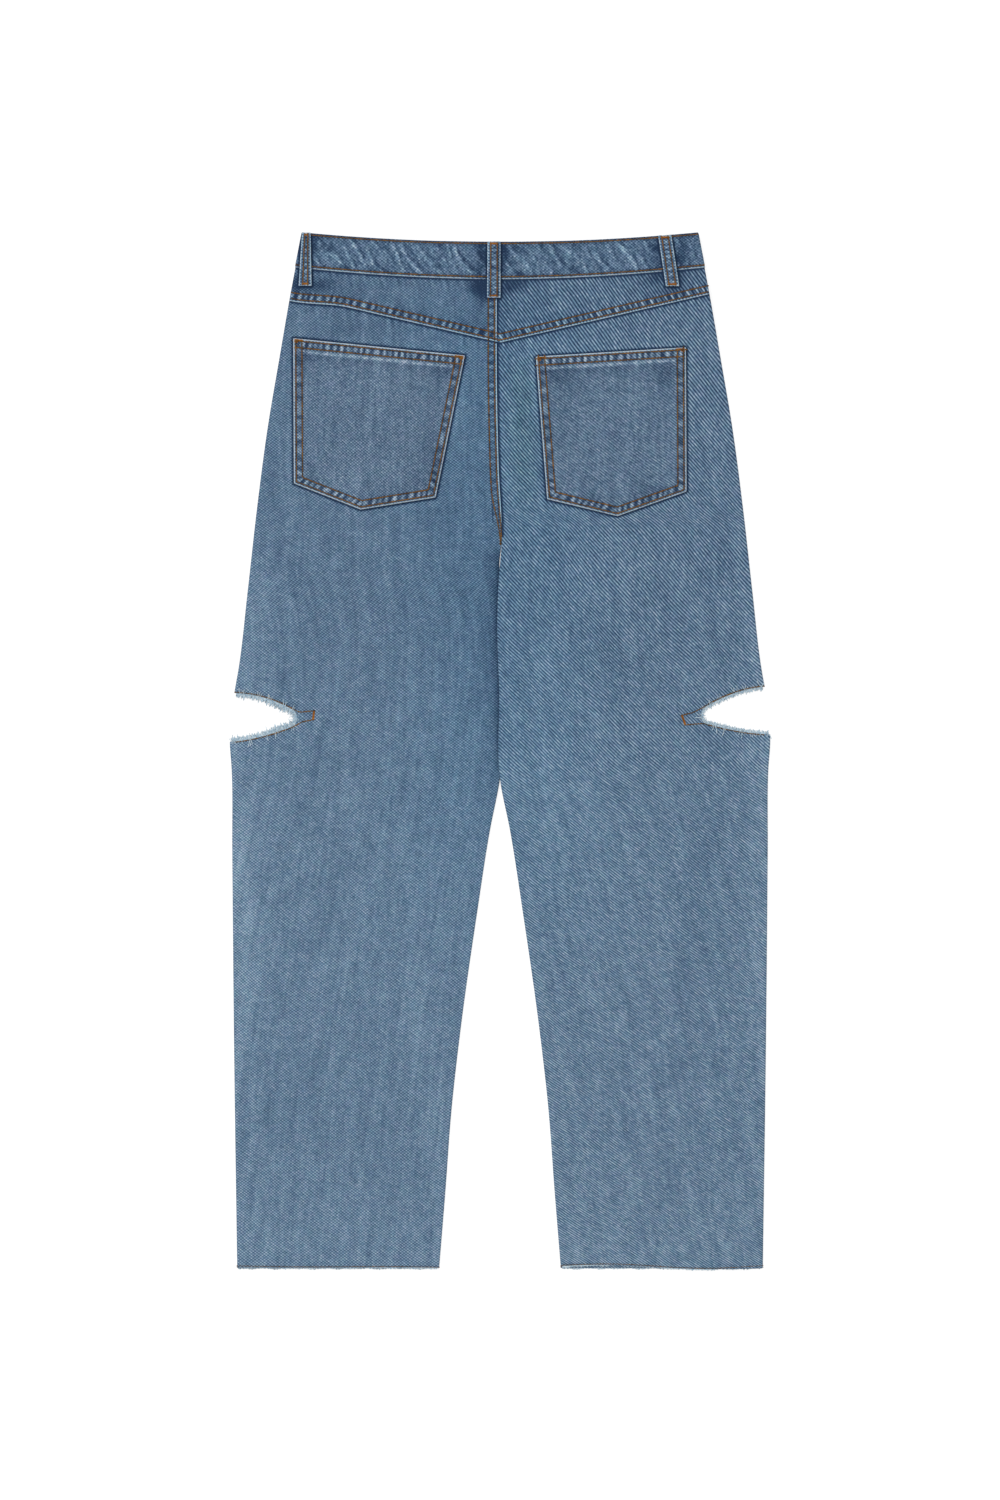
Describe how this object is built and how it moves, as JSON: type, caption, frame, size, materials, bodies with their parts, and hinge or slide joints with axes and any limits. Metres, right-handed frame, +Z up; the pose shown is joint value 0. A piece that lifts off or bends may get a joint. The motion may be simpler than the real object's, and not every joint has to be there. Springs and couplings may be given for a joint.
{
  "type": "pair of ripped jeans laid flat, back up",
  "caption": "Wide straight-leg denim jeans laid flat with the back up: yoke, patch pockets, belt loops, raw hems, and a frayed slit across each side seam at the knee.",
  "frame": {"origin": "on the surface that the jeans lie on, under the middle of their outline", "axes": "+Z up, out of the back of the jeans; +Y from the hems to the waist; +X to the wearer's right"},
  "size_m": [0.5403, 1.0398, 0.0146],
  "materials": {
    "denim": "mid blue stone-washed twill, paler along the seams",
    "denim_unworn": "the same twill, darker where it is covered",
    "loose_threads": "pale frayed cotton threads",
    "stitching": "brown topstitching thread, with orange brown bar tacks",
    "button_metal": "dulled antique brass"
  },
  "bodies": {
    "root": {"back_leg_left": "denim", "back_leg_right": "denim", "front_leg_left": "denim", "front_leg_right": "denim", "yoke_left": "denim", "yoke_right": "denim", "back_pocket_left": "denim", "back_pocket_right": "denim", "waistband": "denim", "belt_loop_back_left": "denim", "belt_loop_back_centre": "denim", "belt_loop_back_right": "denim", "belt_loop_front_left": "denim", "belt_loop_front_right": "denim", "pocket_facing_left": "denim_unworn", "pocket_facing_right": "denim_unworn", "slit_fray_back_left": "loose_threads", "slit_fray_back_right": "loose_threads", "slit_fray_front_left": "loose_threads", "slit_fray_front_right": "loose_threads", "hem_fray_back_left": "loose_threads", "hem_fray_back_right": "loose_threads", "hem_fray_front_left": "loose_threads", "hem_fray_front_right": "loose_threads", "waist_button": "button_metal"}
  },
  "joints": []
}
